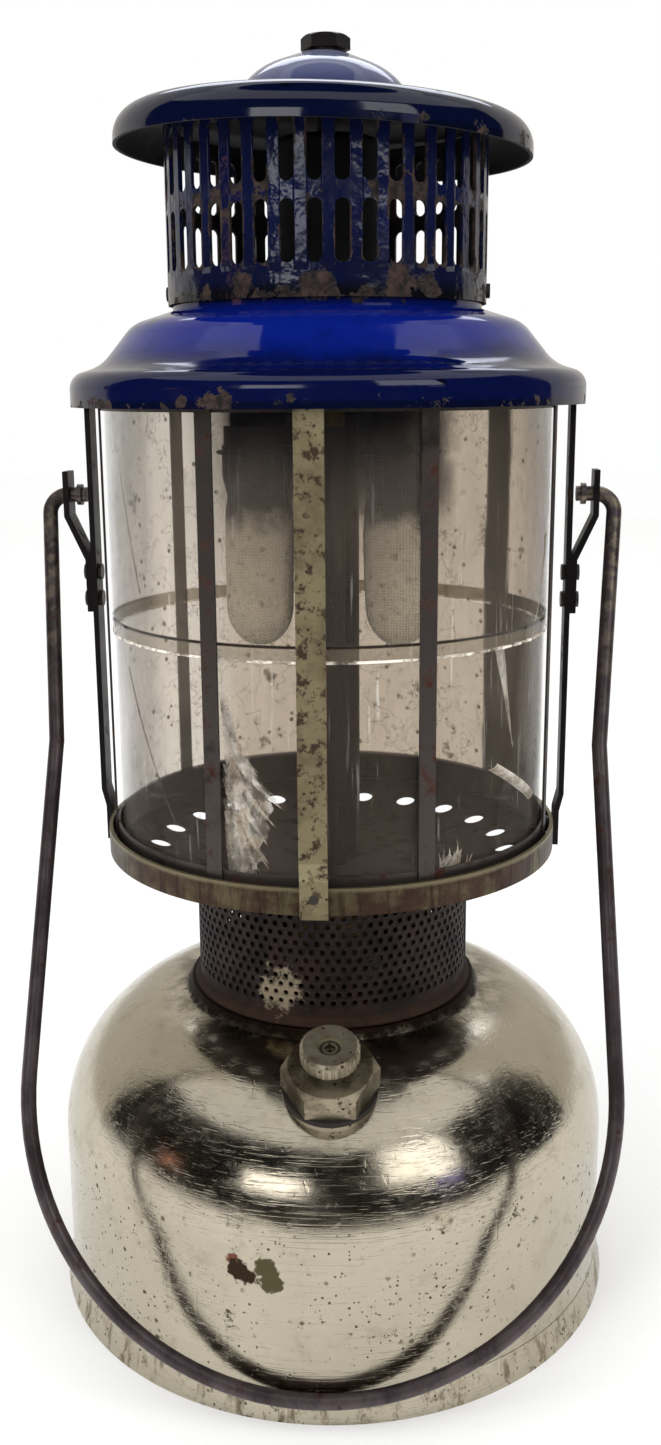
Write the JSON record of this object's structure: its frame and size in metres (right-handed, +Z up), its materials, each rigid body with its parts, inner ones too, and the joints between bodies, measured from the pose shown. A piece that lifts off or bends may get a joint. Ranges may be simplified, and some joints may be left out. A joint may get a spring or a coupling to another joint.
{
  "type": "pressure lantern",
  "caption": "Two-mantle pressure lantern: nickel-plated fount, perforated collar, mica globe in a strip cage, blue enamel hood with a slotted ventilator drum, and a wire bail.",
  "frame": {"origin": "middle of the foot, on the surface the lantern stands on", "axes": "+Z up along the lantern's axis; -Y is the front, where the filler plug is; the bail's pivots lie along X"},
  "size_m": [0.164, 0.1667, 0.3477],
  "materials": {
    "nickel_plate": "tarnished nickel plate",
    "worn_nickel": "worn nickel over steel",
    "dark_steel": "blackened, lightly rusted",
    "steel": "plain",
    "brass": "dull",
    "cast_iron": "sooted",
    "blue_enamel": "gloss vitreous enamel",
    "drum_enamel": "dark enamel, heat darkened",
    "mica": "clear, hazed",
    "mantle": "woven ash",
    "gasket_rubber": "matt",
    "phenolic": "moulded"
  },
  "bodies": {
    "lantern": {"fount_bottom": "nickel_plate", "fount_shell": "nickel_plate", "tank_bushing": "nickel_plate", "filler_boss": "nickel_plate", "pickup_strainer": "brass", "pickup_tube": "brass", "valve_body": "brass", "packing_nut": "brass", "perforated_collar": "dark_steel", "burner_tray": "dark_steel", "guard_ring": "worn_nickel", "ring_rivets": "steel", "upright_front": "worn_nickel", "upright_back": "dark_steel", "upright_right": "dark_steel", "upright_left": "dark_steel", "bail_ear_right": "dark_steel", "bail_ear_left": "dark_steel", "ear_rivets": "steel", "generator_nut": "brass", "generator_tube": "dark_steel", "gas_tip": "brass", "air_tube": "dark_steel", "burner_manifold": "cast_iron", "burner_cap_left": "cast_iron", "burner_cap_right": "cast_iron", "mantle_left": "mantle", "mantle_right": "mantle", "mantle_tie_left": "steel", "mantle_tie_right": "steel", "mixing_chamber": "cast_iron", "centre_stud": "steel"},
    "bail": {"bail": "dark_steel"},
    "gasket": {"filler_gasket": "gasket_rubber"},
    "plug": {"filler_plug": "nickel_plate"},
    "air_screw": {"air_screw": "nickel_plate"},
    "valve": {"valve_stem": "steel", "valve_wheel": "phenolic", "wheel_screw": "steel"},
    "globe": {"globe_foot_band": "dark_steel", "globe_top_band": "dark_steel", "globe_strips": "dark_steel", "lower_mica": "mica", "upper_mica": "mica"},
    "hood": {"hood": "blue_enamel", "ventilator_drum": "drum_enamel", "drum_rivets": "steel", "vent_cap": "blue_enamel"},
    "nut_washer": {"cap_washer": "dark_steel"},
    "cap_nut": {"cap_nut": "dark_steel"}
  },
  "joints": [
    {"name": "bail_swing", "type": "hinge", "parent": "lantern", "child": "bail", "pos_m": [0, 0, 0.23152], "axis": [-1, 0, 0], "range_deg": [0, 319.5]},
    {"name": "plug_rise", "type": "slide", "parent": "lantern", "child": "gasket", "axis": [0.0206, -0.3578, 0.9336], "range_m": [0, 0.0042]},
    {"name": "plug_turn", "type": "hinge", "parent": "gasket", "child": "plug", "pos_m": [0.00353, -0.06129, 0.08308], "axis": [0.0206, -0.3578, 0.9336], "range_deg": [0, 1080]},
    {"name": "air_screw_turn", "type": "hinge", "parent": "plug", "child": "air_screw", "pos_m": [0.00353, -0.06129, 0.08308], "axis": [0.0206, -0.3578, 0.9336], "range_deg": [0, 360]},
    {"name": "valve_turn", "type": "hinge", "parent": "lantern", "child": "valve", "pos_m": [0, 0.05, 0.10302], "axis": [0, 1, 0], "range_deg": [0, 360]},
    {"name": "globe_lift", "type": "slide", "parent": "lantern", "child": "globe", "axis": [0, 0, 1], "range_m": [0, 0.0025]},
    {"name": "hood_lift", "type": "slide", "parent": "lantern", "child": "hood", "axis": [0, 0, 1], "range_m": [0, 0.095]},
    {"name": "nut_rise", "type": "slide", "parent": "hood", "child": "nut_washer", "axis": [0, 0, 1], "range_m": [0, 0.0016]},
    {"name": "nut_turn", "type": "hinge", "parent": "nut_washer", "child": "cap_nut", "pos_m": [0, 0, 0.345], "axis": [0, 0, 1], "range_deg": [0, 720]}
  ],
  "couplings": [
    {"joint": "plug_turn", "follows": "plug_rise", "rad_per_m": 4487.9},
    {"joint": "nut_turn", "follows": "nut_rise", "rad_per_m": 7853.9}
  ]
}
